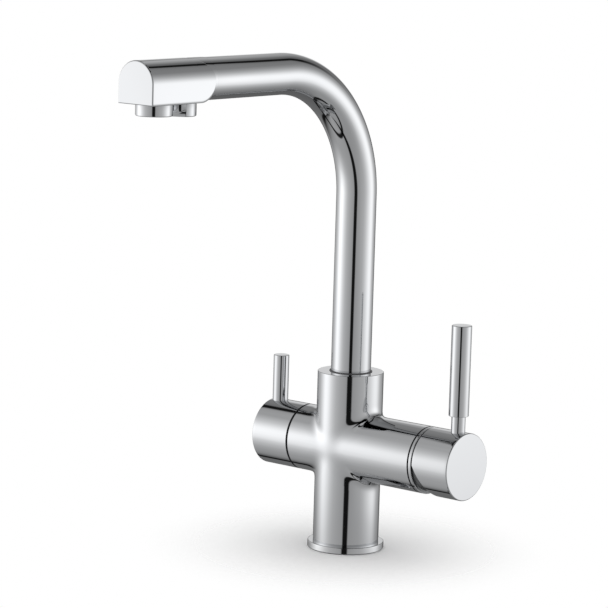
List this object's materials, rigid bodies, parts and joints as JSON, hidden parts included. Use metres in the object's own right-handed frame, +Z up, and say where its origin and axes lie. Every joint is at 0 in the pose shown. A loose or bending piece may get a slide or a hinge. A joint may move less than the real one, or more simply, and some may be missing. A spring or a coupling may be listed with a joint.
{
  "type": "reverse osmosis faucet",
  "caption": "Cross-shaped chrome kitchen tap with a high swivel spout, a mixer lever and a separate quarter-turn lever and outlet for filtered water.",
  "frame": {"origin": "centre of the foot on the sink deck, on the column's axis, at the underside of the base gasket", "axes": "+Z up along the column; +X along the crossbar towards the mixer lever; the spout points towards -Y, the user's side"},
  "size_m": [0.1729, 0.2539, 0.3519],
  "materials": {
    "polished_chrome": "mirror-polished chrome plate",
    "bare_brass": "turned brass",
    "black_rubber": "matt",
    "white_ceramic": "lapped",
    "white_plastic": "moulded",
    "grey_plastic": "moulded",
    "dark_plastic": "moulded",
    "bare_steel": "bright turned stainless steel"
  },
  "bodies": {
    "tap": {"base_gasket": "black_rubber", "base_flange": "polished_chrome", "tap_body": "polished_chrome", "spout_keeper": "bare_steel", "glide_ring": "dark_plastic", "thrust_washer": "white_plastic", "cartridge_seals": "black_rubber", "cartridge_base": "grey_plastic", "cartridge_housing": "grey_plastic", "fixed_disc": "white_ceramic", "cartridge_nut": "bare_brass", "cover_ring": "polished_chrome", "valve_housing": "bare_brass", "valve_seat_seal": "black_rubber", "valve_fixed_disc": "white_ceramic"},
    "spout": {"spout_tube": "polished_chrome", "outlet_block": "polished_chrome", "spout_pivot": "bare_brass", "pivot_seals": "black_rubber", "inner_hose": "white_plastic", "outlet_elbow": "bare_brass", "aerator_housing": "polished_chrome", "aerator_insert": "grey_plastic", "aerator_seal": "black_rubber", "filter_outlet": "polished_chrome", "filter_insert": "grey_plastic", "filter_outlet_seal": "black_rubber"},
    "mixer_turntable": {"cartridge_rotor": "white_plastic", "pivot_pin": "bare_steel"},
    "mixer_disc": {"moving_disc": "white_ceramic", "disc_carrier": "grey_plastic"},
    "mixer_handle": {"mixer_stem": "bare_steel", "mixer_hub": "polished_chrome", "lever_rod": "polished_chrome", "lever_sleeve": "polished_chrome", "hub_grub": "bare_steel", "hub_plug": "grey_plastic"},
    "filter_handle": {"valve_stem": "bare_brass", "stem_seal": "black_rubber", "valve_moving_disc": "white_ceramic", "filter_knob": "polished_chrome", "filter_pin": "polished_chrome", "knob_grub": "bare_steel", "knob_plug": "grey_plastic"}
  },
  "joints": [
    {"name": "spout_swivel", "type": "hinge", "parent": "tap", "child": "spout", "pos_m": [0, 0, 0.1046], "axis": [0, 0, 1], "range_deg": [-180, 180]},
    {"name": "mixer_temperature", "type": "hinge", "parent": "tap", "child": "mixer_turntable", "pos_m": [0.068, 0, 0.0735], "axis": [1, 0, 0], "range_deg": [-45, 45]},
    {"name": "mixer_flow", "type": "hinge", "parent": "mixer_turntable", "child": "mixer_handle", "pos_m": [0.068, 0, 0.0735], "axis": [0, 1, 0], "range_deg": [0, 25]},
    {"name": "mixer_disc_slide", "type": "slide", "parent": "mixer_turntable", "child": "mixer_disc", "axis": [0, 0, 1], "range_m": [0, 0.0048]},
    {"name": "filter_quarter_turn", "type": "hinge", "parent": "tap", "child": "filter_handle", "pos_m": [-0.0375, 0, 0.0735], "axis": [1, 0, 0], "range_deg": [0, 90]}
  ],
  "couplings": [
    {"joint": "mixer_disc_slide", "follows": "mixer_flow", "m_per_rad": 0.010848}
  ]
}
